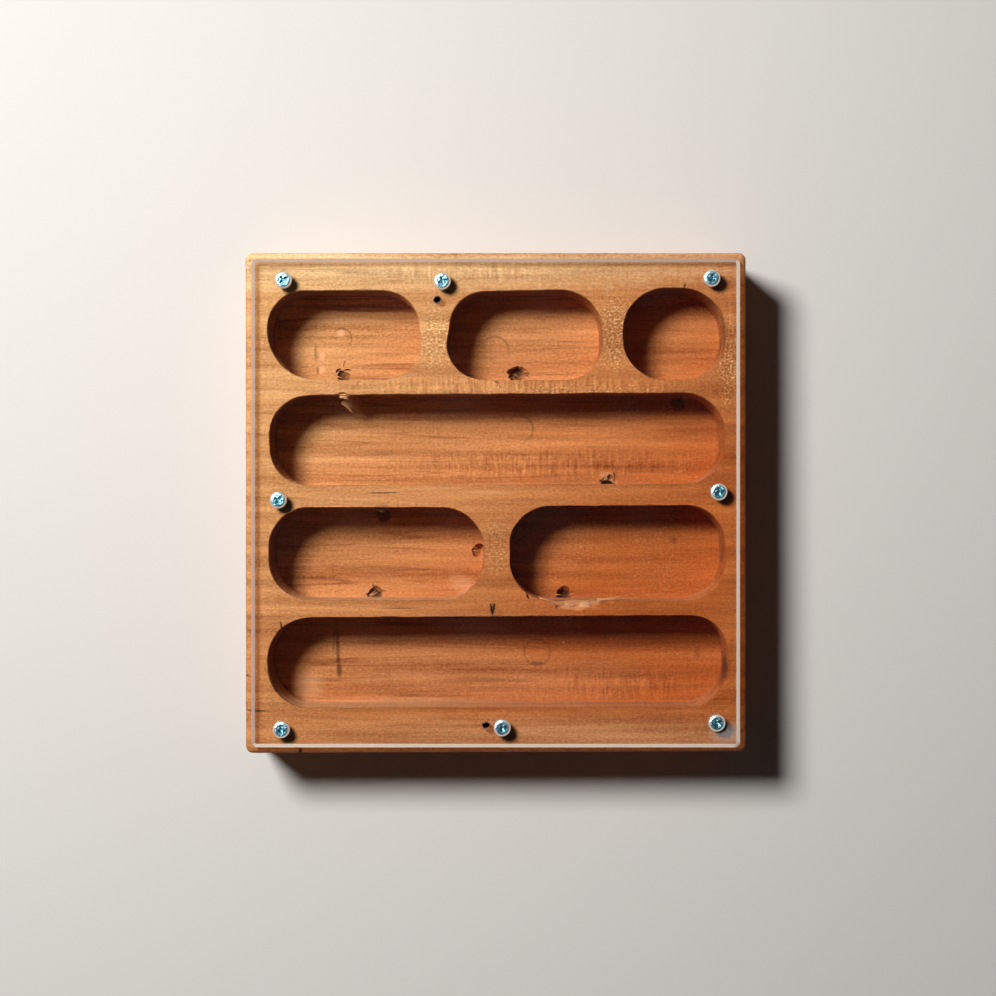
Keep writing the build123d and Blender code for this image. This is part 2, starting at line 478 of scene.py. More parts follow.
def addSides(shell):
    # from the face's border down the sides to the underside's border
    values = blockValues
    edge = values["edgeRound"]
    (deep, long), (shallow, short) = values["edgeWaves"]
    arc = [math.radians(a) for a in (0, 22.5, 45, 67.5, 90)]
    profile = [(edge * (1 - math.sin(a)), topHeight - edge * (1 - math.cos(a))) for a in arc]
    profile += [(0.0, height) for height in np.linspace(profile[-1][1], edge, 12)[1:-1]]
    profile += [(edge * (1 - math.cos(a)), edge * (1 - math.sin(a))) for a in arc]
    base = outerLoop(values["sideStep"])
    normals = outward(base)
    rings = []
    for inset, height in profile:
        worn = [deep * wobble(x, y, height, long) + shallow * wobble(x, y, height, short) for x, y in base]
        worn = np.clip(np.array(worn) + values["edgeWear"], 0, None) * (1 if height > 0.5 else 0.2)
        rings.append(shell.ring(base - normals * (inset + worn)[:, None], height))
    shell.bridge(rings)
    return rings[0], rings[-1]


def addRoom(shell, name, loop):
    # a chamber's walls and floor; gives the ring at its rim
    values = blockValues
    away = outward(loop)
    walls = []
    for depth in values["wallDepths"]:
        aboveFloor = values["wallDepths"][-1] - depth
        height = topHeight - depth if depth < values["footDepth"] else floorHeight + aboveFloor
        walls.append(shell.ring(loop + away * wallShift(loop, depth), height))
    shell.bridge(walls, inward=True)
    shell.fill(walls[-1], [], values["floorStep"], roomFloor(name))
    return walls[0]


def addHole(shell, loop):
    # a drilled hole with a pointed foot, ragged where no screw uses it; gives the ring at its rim
    values = blockValues
    centre = (loop.min(0) + loop.max(0)) / 2
    radius = np.ptp(loop, axis=0).mean() / 2
    empty = radius < values["emptyUnder"]
    deep, long = values["holeTorn"]
    angles = np.linspace(0, math.tau, 40, endpoint=False)
    walls = []
    for depth in (*values["holeDepths"], values["emptyDepth"] if empty else values["holeDepth"]):
        ragged = [deep * wobble(math.cos(a) * 3, math.sin(a) * 3, centre[0] + depth, long) for a in angles]
        ragged = np.array(ragged) * (1 if depth < 1 and empty else 0.25)
        size = radius + (values["holeEase"] if depth == 0 else 0.0) + ragged
        around = np.c_[np.cos(angles), np.sin(angles)] * size[:, None]
        walls.append(shell.ring(centre + around, topHeight - depth))
    shell.bridge(walls, inward=True)
    tip = len(shell.points)
    shell.points.append((*centre, topHeight - depth - values["holeTip"]))
    shell.faces += [[int(a), int(b), tip] for a, b in zip(walls[-1], np.roll(walls[-1], -1))]
    return walls[0]


def buildBlock():
    shell = Shell()
    face, underside = addSides(shell)
    rims = [addRoom(shell, name, loop) for name, loop in chamberLoops.items()]
    rims += [addHole(shell, loop) for loop in holeLoops]
    shell.fill(face, rims, blockValues["faceStep"], faceHeight)
    shell.fill(underside, [], blockValues["undersideStep"], lambda x, y: 0.0, up=False)
    return shell


def addTube(shell, centres, radii, across, upward, sides, ragged=lambda step, angle: 0.0):
    # a closed tube through centres; ragged gives what each step and angle adds to the radius
    sections = []
    for step, (centre, radius) in enumerate(zip(centres, radii)):
        section = []
        for side in range(sides):
            angle = math.tau * side / sides
            reach = across * math.cos(angle) + upward * math.sin(angle)
            section.append(centre + reach * (radius + ragged(step, angle)))
        sections.append(section)
    shell.loft(sections)


def passageFrame(passage):
    way = Vector(passage["way"])
    across = Vector((0, 0, 1)).cross(way).normalized()
    return way, across, across.cross(way)


def addPassage(shell, passage, rough):
    # the drill wandered and tore the wood, most where it broke through
    values = blockValues
    way, across, upward = passageFrame(passage)
    foot = Vector(passage["foot"])
    above, below = values["passageSpare"]
    above += passage["run"]
    count = int((above + below) / values["passageStep"])
    runs = [-above + (above + below) * step / count for step in range(count + 1)]
    radii = [values["passageRadius"]] * count + [values["passageRadius"] * 0.8]

    def torn(step, angle):
        run = runs[step]
        atFoot, atMouth = (run + 1.0) / 2.4, (run + passage["run"]) / 2.6
        most = rough * (0.35 + 0.65 * math.exp(-atFoot ** 2) + 0.5 * math.exp(-atMouth ** 2))
        return most * wobble(2.2 * math.cos(angle), 2.2 * math.sin(angle), run * 0.5 + foot[0], 1.3)

    addTube(shell, [foot + way * run for run in runs], radii, across, upward, 30, torn)


damageValues = {
    # splits in the face: from and to in mm, how wide and how deep
    "splits": {
        "webSplitLeft": ((-52.1, 3.9), (-37.3, 4.2), 0.34, 1.1),
        "webSplitFront": ((-44.1, -42.1), (-30.2, -41.7), 0.3, 1.0),
        "knotLeft": ((-0.2, -39.6), (-1.3, -44.8), 0.8, 1.6),
        "knotRight": ((-2.2, -39.7), (-1.2, -44.6), 0.7, 1.5),
        "backTear": ((-0.6, 48.6), (1.4, 47.6), 0.6, 1.0),
        "roomRimTear": ((9.3, -30.6), (12.0, -35.8), 1.2, 2.2),
        "roomRimNotch": ((12.2, -36.0), (13.6, -38.4), 0.9, 1.8),
        "edgeSplitUpper": ((-101.0, -68.6), (-97.4, -69.3), 0.5, 2.6),
        "edgeSplitLower": ((-101.0, -82.4), (-90.6, -82.9), 0.4, 1.8),
        "rimSplitLongFront": ((-85.7, -47.2), (-84.9, -51.4), 0.5, 1.3),
        "frontNotch": ((-78.4, -101.0), (-77.6, -97.9), 0.9, 2.4),
        "backRimNotch": ((75.0, 85.2), (75.6, 87.4), 0.7, 1.4),
    },
    # the same in the chambers' floors, where the drill broke through
    "floorSplits": {
        "backLeftAcross": ((-62.6, 54.4), (-59.0, 54.6), 0.75, 1.6),
        "backLeftUp": ((-61.9, 58.5), (-62.5, 55.4), 0.45, 1.0),
        "backLeftGash": ((-65.7, 53.4), (-63.4, 55.3), 1.1, 2.2),
        "backLeftLow": ((-65.4, 52.2), (-62.6, 52.8), 0.9, 2.0),
        "backMiddleTail": ((11.0, 52.6), (13.9, 53.2), 1.3, 2.0),
        "backMiddleCorner": ((12.2, 54.0), (13.6, 51.4), 0.5, 1.4),
        "longBackUp": ((46.5, 11.6), (46.3, 8.6), 0.5, 1.2),
        "longBackCorner": ((48.4, 12.6), (48.9, 10.2), 0.7, 1.4),
        "frontLeftUp": ((-50.6, -32.8), (-49.9, -35.4), 0.6, 1.4),
        "frontLeftAcross": ((-48.5, -36.3), (-44.9, -36.0), 0.8, 1.6),
        "frontLeftBack": ((-53.6, -37.6), (-50.5, -36.8), 0.9, 1.6),
    },
    # ragged pits where the mouths broke out: middle, half sizes, depth
    "floorPits": {
        "backLeft": ((-63.4, 53.2), (1.5, 1.0), 2.6),
        "backMiddle": ((8.6, 53.2), (3.5, 2.9), 4.2),
        "longBack": ((46.0, 8.9), (3.2, 1.5), 3.2),
        "frontLeft": ((-49.3, -36.8), (2.4, 1.7), 3.0),
        "frontRight": ((28.0, -37.6), (3.2, 2.2), 3.6),
    },
    # shallow scoops in the rims, where the drill slid before it bit
    "rimScoops": {
        "frontRight": ((31.4, -39.9), (11.4, 3.2), 2.2),
        "frontRightTail": ((46.0, -38.4), (8.0, 1.5), 1.4),
        "backLeft": ((-61.0, 42.9), (3.4, 1.1), 1.3),
    },
    "roughness": 0.62,  # how far the passages' walls tear, mm
}


def addPit(shell, centre, half, deep, level):
    # a ragged dish, open at the top
    sides = 36
    sections = []
    for share, rise in ((1.12, 0.5), (1.0, 0.0), (0.86, -0.35 * deep), (0.5, -deep)):
        section = []
        for side in range(sides):
            angle = math.tau * side / sides
            x, y = math.cos(angle), math.sin(angle)
            torn = share * (1 + 0.3 * wobble(4 * x, 4 * y, centre[0] + rise * 0.4, 1.5))
            section.append((centre[0] + half[0] * torn * x, centre[1] + half[1] * torn * y, level + rise))
        sections.append(section)
    shell.loft(sections)


def addSplit(shell, start, end, wide, deep, level):
    # a wedge, ragged along its length
    start, end = Vector((*start, 0)), Vector((*end, 0))
    along = end - start
    side = Vector((-along.y, along.x, 0)).normalized()
    upper, lower = level + 0.6, level - deep
    count = 12
    sections = []
    for step in range(count + 1):
        share = step / count
        swell = math.sin(math.pi * share) ** 0.7 + 0.08
        half = 0.5 * wide * swell * (1 + 0.5 * wobble(step, start.x, start.y, 1.4))
        middle = start + along * share + side * 0.25 * wide * wobble(step * 2, start.y, 4, 1.7)
        corners = ((half, upper), (-half, upper), (-0.22 * half, lower), (0.22 * half, lower))
        sections.append([(*(middle + side * away)[:2], height) for away, height in corners])
    shell.loft(sections)


def meshOf(shell):
    made = bpy.data.meshes.new("shell")
    points = [tuple(c * mm for c in point) for point in shell.points]
    made.from_pydata(points, [], [[int(i) for i in face] for face in shell.faces])
    made.validate()
    tidy = bmesh.new()
    tidy.from_mesh(made)
    bmesh.ops.recalc_face_normals(tidy, faces=tidy.faces)
    tidy.to_mesh(made)
    tidy.free()
    return made


def combine(piece, shell, operation):
    # cuts a shell out of a piece or joins it on, and keeps the result as its mesh
    cutter = addObject("cutter", meshOf(shell))
    change = piece.modifiers.new("change", "BOOLEAN")
    change.operation = operation
    change.solver = "MANIFOLD"
    change.object = cutter
    bpy.context.view_layer.update()
    changed = piece.evaluated_get(bpy.context.evaluated_depsgraph_get())
    changed = bpy.data.meshes.new_from_object(changed)
    piece.modifiers.remove(change)
    piece.data = changed
    bpy.data.objects.remove(cutter)


def smooth(mesh, angle):
    mesh.polygons.foreach_set("use_smooth", [True] * len(mesh.polygons))
    mesh.set_sharp_from_angle(angle=math.radians(angle))


def addPiece(name, mesh, body, material):
    made = addObject(name, mesh)
    mesh.materials.clear()
    mesh.materials.append(material)
    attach(made, body)
    return made


# Wood

woodValues = {
    "tanWood": "#E7AA6F",
    "redWood": "#BA6028",
    "sapWood": "#FFDDA8",
    "tornWood": "#F3B98A",
    "lateWood": "#7E3D1A",
    "goldFleck": "#FFE0A4",
    "pore": "#6A3315",
    "burn": "#2A1006",
    # darker for the floors the bit rubbed, and painted shade on the walls that face away from the lamp
    "rubbed": "#652811",
    "pith": (0.0, 26.0, -88.0),  # the tree's middle, in mm, round which the rings on the end grain run
    "ringPitch": 3.1,
    "ringWander": 9.0,
    "lineStep": 0.085,  # how close together the growth lines lie, as a share of the pattern they follow
    "lineWidth": 0.34,  # as a share of that
    "diagonal": -0.85,  # how far y counts against x on the way from pale to red, partly the wood's colour and partly painted light falloff
    "drift": 70.0,  # mm that the blotches shift it
    "floorRub": 0.04,  # how far the bit rubbed the floors darker
    "fineFibre": 0.7,  # relief of the fine fibre against that of the coarse one
    "relief": (0.7, 0.22),  # strength and depth
    "sheen": 0.16,
    # the value from which and to which each one is mapped, and what it gives there
    "spans": {
        "heart": (-150.0, 110.0),  # mm along the diagonal over which the colour turns red, partly the wood's own and partly painted light falloff
        "linePlace": (0.4, 0.62, 0.1, 0.66),
        "lineSanded": (topHeight - 3.0, topHeight - 0.5, 1.0, 0.5),
        "toRight": (-30.0, 50.0, 1.0, 0.45),
        "golden": (0.52, 0.66, 0.0, 0.58),
        "hollow": (0.47, 0.33, 0.0, 0.5),
        "fleckPlace": (0.5, 0.7, 0.04, 0.16),
        "planingPlace": (0.48, 0.66, 0.05, 0.2),
        "pores": (0.6, 0.74, 0.0, 0.38),
        "inner": (high[0] - 2.0, high[0] - 3.0),  # all but the outer sides
        "wall": (0.75, 0.35),
        "endGrain": (0.5, 1.0, 0.0, 0.22),
        "onEnd": (0.8, 1.0),
        "ring": (0.75, 0.0, 0.0, 0.4),
        "sunk": (topHeight - 0.2, topHeight - 2.0),
        "wallRub": (-0.6, 0.9, 0.0, 0.9),  # painted shade, least on the front right walls, which face the lamp, most on the back left ones, which face away from it
        # painted light: the front walls, which face the lamp, are painted paler
        "frontTear": (0.4, 1.0, 0.0, 0.48),
        "gloss": (0.0, 1.0, 0.66, 0.9),
    },
    # patterns' sizes along x, y, z in mm; real fibres and pores are 0.05 mm, and are drawn coarser to show
    "patterns": {
        "blotch": ((62.0, 34.0, 40.0), 2.0),
        "bands": ((110.0, 5.4, 7.0), 3.0),
        "lines": ((190.0, 7.5, 12.0), 2.0),
        "linePlace": ((34.0, 5.0, 9.0), 2.0),
        "fibre": ((9.0, 0.42, 0.42), 2.0),
        "coarseFibre": ((30.0, 1.2, 1.2), 2.0),
        "planing": ((0.95, 7.0, 9.0), 2.0),
        "planingPlace": ((30.0, 12.0, 30.0), 1.0),
        "fleck": ((1.0, 0.8, 0.8), 1.5),
        "fleckPlace": ((24.0, 18.0, 40.0), 1.0),
        "pores": ((1.9, 0.3, 0.3), 1.0),
        "wallRipple": ((0.9, 0.9, 30.0), 1.0),
        "grime": ((3.1, 3.1, 3.1), 3.0),
        "mottle": ((1.2, 0.8, 1.0), 2.0),
        "grown": ((90.0, 30.0, 22.0), 2.0),
    },
    "shadeWeights": {"blotch": 0.5, "bands": 1.6, "fibre": 0.4, "coarseFibre": 0.45, "mottle": 1.05},
    "barWeight": 2.0,
    "shadeTint": (0.72, 1.0, 1.25),  # a darker fibre is redder too
    # where the planer and the bit left bars across the grain, and where flecks shine, as the marks below
    "barPlaces": {
        "backWeb": ((12, 46.6, 40), (86, 5.5, 6), 1.0),
        "backMargin": ((-14, 93, 40), (60, 6, 6), 0.6),
        "longBackFloor": ((22, 16, 15), (78, 8, 6), 0.9),
        "rightMargin": ((93, 62, 40), (6, 28, 6), 0.8),
        "longFrontFloor": ((50, -75, 15), (46, 8, 6), 0.75),
    },
    "fleckPlaces": {
        "leftPost": ((-24, 66, 40), (9, 17, 8), 0.9),
        "rightPost": ((47.5, 69, 40), (9, 20, 8), 1.0),
        "rightMargin": ((93, 56, 40), (6, 24, 8), 0.8),
        "backWeb": ((30, 44, 40), (60, 4, 8), 0.5),
        "middlePost": ((1, -17, 40), (8, 16, 8), 0.5),
    },
    # burns and stains left by the bit, and painted shade in the splits and down the passages' mouths: middle
    # and half sizes in mm, strength, turn in degrees, kind
    "marks": {
        "plungeBackLeft": ((-63.1, 67.5, 15), (4.0, 4.0, 2), 0.48, 50, "arc"),
        "plungeBackMiddle": ((-0.3, 62.5, 15), (5.6, 5.6, 2), 0.36, 65, "arc"),
        "blushBackMiddle": ((-2.3, 60.7, 15), (6.0, 5.0, 2), 0.1),
        "plungeLongBack": ((10.0, 30.2, 15), (5.3, 5.3, 2), 0.34, 20, "arc"),
        "plungeLongFront": ((17.0, -61.3, 15), (5.3, 5.3, 2), 0.3, 0, "ring"),
        "plungeFoot": ((17.0, -65.7, 15), (4.0, 0.9, 2), 0.5),
        "streakLongFront": ((-64.7, -60.5, 15), (1.1, 12.5, 3), 0.62, 2),
        "streakLongFrontFoot": ((-64.2, -68.4, 15), (1.5, 4.2, 3), 0.72, 5),
        "streakLongFrontSide": ((-66.4, -57.0, 15), (0.7, 7.5, 3), 0.35, -2),
        "dentBackLeft": ((-73.8, 61.5, 15), (0.9, 4.6, 3), 0.48),
        "dentBackLeftLow": ((-73.0, 54.2, 15), (0.8, 2.2, 3), 0.48),
        "burnLongFront": ((92.0, -66.0, 30), (2.6, 9.5, 14), 0.85, -12),
        "burnFrontRight": ((91.0, -21.0, 25), (2.0, 8.0, 12), 0.4, -8),
        "burnBackRight": ((91.2, 66.0, 34), (2.2, 12.0, 4), 0.55, 6),
        "burnBackRightLow": ((90.6, 63.0, 22), (2.2, 9.0, 3), 0.5, 6),
        # painted shade along the splits in the face
        "edgeSplitStain": ((-95.2, -82.8, 40), (6.2, 0.5, 2), 0.7, -2),
        "edgeSplitStainUpper": ((-99.6, -68.8, 37), (2.6, 0.8, 5), 0.7),
        "rimStainLongFront": ((-85.3, -49.2, 40), (0.6, 2.6, 2), 0.6, 10),
        "smearFrontRight": ((73.2, -15.3, 15), (1.6, 1.9, 2), 0.5),
        "smearLongFront": ((82.7, -61.4, 15), (1.6, 2.9, 2), 0.3),
        "knot": ((-1.2, -42.2, 40), (1.5, 3.0, 2), 0.75),
        # painted shade in the front notch and along the splits in the face
        "frontNotchStain": ((-78.0, -99.0, 39), (1.2, 1.8, 3), 0.8),
        "splitStain": ((-44.7, 4.0, 40), (7.4, 0.35, 1), 0.6),
        "splitStainFront": ((-37.2, -41.9, 40), (7.0, 0.3, 1), 0.45),
        "speckFrontLeft": ((-40.5, -19.8, 15), (0.5, 0.5, 1), 0.8),
        "speckLongFront": ((13.7, -80.6, 16), (0.6, 0.5, 1), 0.8),
        "speckLongFrontRight": ((51.9, -82.0, 16), (0.6, 0.5, 1), 0.8),
        # painted shade down in the pits and bores where the passages' mouths broke out
        **{name + "Mouth": ((x, y, floorHeight - 4.4), (4.6, 4.4, 4.2), 0.85)
           for name, ((x, y), half, deep) in damageValues["floorPits"].items()},
    },
    # pale places: the sapwood edge, with a painted highlight along the back round-over, and where wood tore
    # or was bruised, with painted bounce light on the floors by the lit front walls
    "palePlaces": {
        "backEdge": ((-90, 99, 40), (260, 17, 12), 0.48),
        # painted highlight along the back edge's round-over
        "backRim": ((0, 102, 39), (260, 5, 5), 0.5),
        "frontEdge": ((40, -95, 40), (150, 14, 8), 0.17),
        "longFrontFloor": ((-5, -72, 15), (80, 14, 5), 0.1),
    },
    "tornPlaces": {
        "plungeBackLeft": ((-63.6, 69.4, 15), (2.0, 1.9, 2), 0.8),
        "bruiseBackLeft": ((-71.2, 60.2, 15), (1.5, 2.8, 2), 0.7),
        "bruiseBackLeftLow": ((-71.4, 54.6, 15), (1.8, 2.4, 2), 0.65),
        "scoopFrontRight": ((31.5, -39.9, 38.5), (12.5, 3.6, 2.8), 0.4),
        "scoopFrontRightEnd": ((38.6, -39.6, 39.5), (4.6, 1.9, 2.6), 0.5),
        "scoopBackLeft": ((-61.0, 42.6, 38.5), (3.6, 1.4, 2.4), 0.45),
        # painted bounce light: pale floors by the lit front walls
        "bloomLongFront": ((-77.5, -75.0, 15), (8.0, 8.0, 2), 0.34),
        "bloomLongFrontFoot": ((-36.0, -81.8, 15), (48.0, 2.6, 2), 0.3),
        "bloomFrontLeft": ((-12.5, -34.0, 15), (9.5, 5.0, 2), 0.3, -25),
        "mouthLongBack": ((45.4, 11.2, 15), (3.4, 2.2, 2), 0.26),
        "webFront": ((-3.0, 4.2, 40), (14.0, 0.9, 2), 0.3, -1),
    },
}


def addPatches(add, inMm, pattern, span, places, ragged):
    # patches where a pattern is high, and named places
    patches = add("MapRange", {**span, 0: pattern})
    named = addPlaces(add, inMm, places, ragged)
    return add("Math MAXIMUM", [patches, named])


def growthLines(add, layers, place):
    # thin, straight, along x, coming and going, weaker on the sanded face and to the right
    step, spans = woodValues["lineStep"], spansOf(woodValues)
    saw = add("Math PINGPONG", [layers["lines"], step])
    late = add("MapRange", {"From Min": step * woodValues["lineWidth"], "From Max": 0.0, 0: saw})
    for name, over in (("linePlace", layers["linePlace"]), ("lineSanded", place[2]), ("toRight", place[0])):
        shown = add("MapRange", {**spans[name], 0: over})
        late = add("Math MULTIPLY", [late, shown])
    return late


def rayFlecks(add, inMm, layers, ragged):
    # ray flecks, golden with dark hollows between, in patches
    spans = spansOf(woodValues)
    pattern, places = layers["fleckPlace"], woodValues["fleckPlaces"]
    patches = addPatches(add, inMm, pattern, spans["fleckPlace"], places, ragged)
    made = []
    for name in ("golden", "hollow"):
        shown = add("MapRange", {**spans[name], 0: layers["fleck"]})
        made.append(add("Math MULTIPLY", [shown, patches]))
    return made


def endGrain(add, inMm, layers, facing):
    # end grain drinks more light than side grain, and the growth rings show on it
    values, spans = woodValues, spansOf(woodValues)
    ends = add("Math ABSOLUTE", [facing[0]])
    darker = add("MapRange", {**spans["endGrain"], 0: ends})
    toPith = add("VectorMath SUBTRACT", [inMm, values["pith"]])
    toPith = add("VectorMath MULTIPLY", [toPith, (0.0, 1.0, 1.0)])
    toPith = add("VectorMath LENGTH", [toPith])
    grown = add("Math MULTIPLY_ADD", [layers["grown"], values["ringWander"], toPith])
    grown = add("Math PINGPONG", [grown, values["ringPitch"] / 2])
    rings = add("MapRange", {**spans["ring"], 0: grown})
    onEnd = add("MapRange", {**spans["onEnd"], 0: ends})
    return darker, add("Math MULTIPLY", [onEnd, rings])


def routedMasks(add, inMm, place, facing):
    # what lies inside the outer sides, the walls among it, and what lies under the face
    spans = spansOf(woodValues)
    fromMiddle = add("VectorMath ABSOLUTE", [inMm])
    outer = add("SeparateXYZ", [fromMiddle]).outputs
    outer = add("Math MAXIMUM", [outer[0], outer[1]])
    within = add("MapRange", {**spans["inner"], 0: outer})
    upright = add("Math ABSOLUTE", [facing[2]])
    wall = add("MapRange", {**spans["wall"], 0: upright})
    wall = add("Math MULTIPLY", [wall, within])
    sunk = add("MapRange", {**spans["sunk"], 0: place[2]})
    return wall, add("Math MULTIPLY", [within, sunk])


def rubAndWallShade(add, place, facing, wall, routed):
    # painted shade: the walls that face away from the lamp are painted darker; the bit rubbed the floors a
    # little darker; painted light: the front walls, which face the lamp, are painted paler, most to the left
    spans = spansOf(woodValues)
    leftOrBack = add("Math SUBTRACT", [facing[0], facing[1]])
    shadeOnWalls = add("MapRange", {**spans["wallRub"], 0: leftOrBack})
    rubbed = add("MapRange", {"To Min": woodValues["floorRub"], "To Max": shadeOnWalls, 0: wall})
    rubbed = add("Math MULTIPLY", [routed, rubbed])
    toRight = add("MapRange", {**spans["toRight"], 0: place[0]})
    # painted light: front walls that face the lamp are painted paler
    torn = add("MapRange", {**spans["frontTear"], 0: facing[1]})
    for share in (routed, toRight):
        torn = add("Math MULTIPLY", [torn, share])
    return rubbed, torn


def cherryWood(name, paler=0.0):
    # cherry, planed, routed and left bare: fine lengthwise fibre, soft blotches, a low sheen
    values, spans = woodValues, spansOf(woodValues)
    made, add = newMaterial(name)
    inMm = inMillimetres(add)
    layers = addPatterns(add, inMm, values["patterns"])
    place = add("SeparateXYZ", [inMm]).outputs
    facing = trueFacing(add)
    ragged = add("Math MULTIPLY_ADD", [layers["grime"], 0.5, -0.25])
    # paler at the back left, redder at the front right: partly the tree's paler wood and redder heartwood,
    # partly painted light falloff away from the lamp at the back left
    across = add("Math MULTIPLY_ADD", [place[1], values["diagonal"], place[0]])
    across = add("Math MULTIPLY_ADD", [layers["blotch"], values["drift"], across])
    heart = add("MapRange", {**spans["heart"], 0: across})
    # the sapwood edge, and a painted highlight along the back round-over
    sapAndHighlight = addPlaces(add, inMm, values["palePlaces"], ragged)
    golden, hollow = rayFlecks(add, inMm, layers, ragged)
    pores = add("MapRange", {**spans["pores"], 0: layers["pores"]})
    coats = [("redWood", heart), ("sapWood", sapAndHighlight), ("lateWood", growthLines(add, layers, place)),
             ("goldFleck", golden), ("pore", hollow), ("pore", pores)]
    colour = layColours(add, values, "tanWood", coats)
    # fibre and blotches as light and dark, tool bars across the grain, ripple down the routed walls
    bars = addSwings(add, layers, {"planing": values["barWeight"]})
    pattern, places = layers["planingPlace"], values["barPlaces"]
    planed = addPatches(add, inMm, pattern, spans["planingPlace"], places, ragged)
    ripple = add("Math SUBTRACT", [layers["wallRipple"], 0.5])
    wall, routed = routedMasks(add, inMm, place, facing)
    shade = addSwings(add, layers, values["shadeWeights"])
    for swing, share in ((bars, planed), (ripple, wall)):
        shade = add("Math MULTIPLY_ADD", [swing, share, shade])
    tint = add("VectorMath SCALE", {0: values["shadeTint"], "Scale": shade})
    tint = add("VectorMath ADD", [tint, (1.0, 1.0, 1.0)])
    tint = add("VectorMath MAXIMUM", [tint, (0.1, 0.1, 0.1)])
    colour = add("VectorMath MULTIPLY", [colour, tint])
    darker, rings = endGrain(add, inMm, layers, facing)
    # painted shade on the walls that face away from the lamp, and painted light on the front walls that face
    # it
    rubbed, torn = rubAndWallShade(add, place, facing, wall, routed)
    coats = [("lateWood", darker), ("lateWood", rings), ("rubbed", rubbed), ("tornWood", torn),
             # pale where wood tore, with painted bounce light on the floors by the lit front walls
             ("tornWood", addPlaces(add, inMm, values["tornPlaces"], ragged)),
             # burns and stains, with painted shade in the splits and the passages' mouths
             ("burn", addPlaces(add, inMm, values["marks"], ragged))]
    if paler:
        # torn, unfinished fibres scatter more light
        bright = add("MapRange", {"To Min": paler * 0.6, "To Max": paler, 0: layers["fibre"]})
        coats.append(("tornWood", bright))
    colour = layColours(add, values, colour, coats)
    fine, coarse = layers["fibre"], layers["coarseFibre"]
    relief = add("Math MULTIPLY_ADD", [fine, values["fineFibre"], coarse])
    relief = add("Math MULTIPLY_ADD", [bars, planed, relief])
    for sunken in (pores, hollow):
        relief = add("Math SUBTRACT", [relief, sunken])
    relief = add("Math MULTIPLY_ADD", [ripple, wall, relief])
    strength, depth = values["relief"]
    bump = add("Bump", {"Strength": strength, "Distance": depth * mm, "Height": relief})
    gloss = add("MapRange", {**spans["gloss"], 0: layers["coarseFibre"]})
    finish = {"IOR": 1.5, "Specular IOR Level": values["sheen"], "Roughness": gloss}
    surface = add("BsdfPrincipled", {**finish, "Base Color": colour, "Normal": bump})
    add("OutputMaterial", [surface])
    return made


bareWood = cherryWood("planed and routed cherry")
tornWood = cherryWood("torn cherry fibre", 0.6)
block = addPiece("woodBlock", meshOf(buildBlock()), "block", bareWood)
print("block shaped", len(block.data.polygons))
drilled = Shell()
for passage in passages:
    addPassage(drilled, passage, damageValues["roughness"] * (0.7 + 0.6 * dice.random()))
combine(block, drilled, "DIFFERENCE")
for level, pits, splits in ((floorHeight, "floorPits", "floorSplits"), (topHeight, "rimScoops", "splits")):
    dug = Shell()
    for centre, half, deep in damageValues[pits].values():
        addPit(dug, centre, half, deep, level)
    combine(block, dug, "DIFFERENCE")
    split = Shell()
    for start, end, wide, deep in damageValues[splits].values():
        addSplit(split, start, end, wide, deep, level)
    combine(block, split, "DIFFERENCE")
block.data.materials.clear()
block.data.materials.append(bareWood)
smooth(block.data, blockValues["sharpFrom"])
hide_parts("wood_block")
print("passages and splits cut", len(block.data.polygons))


# Torn fibres and dust

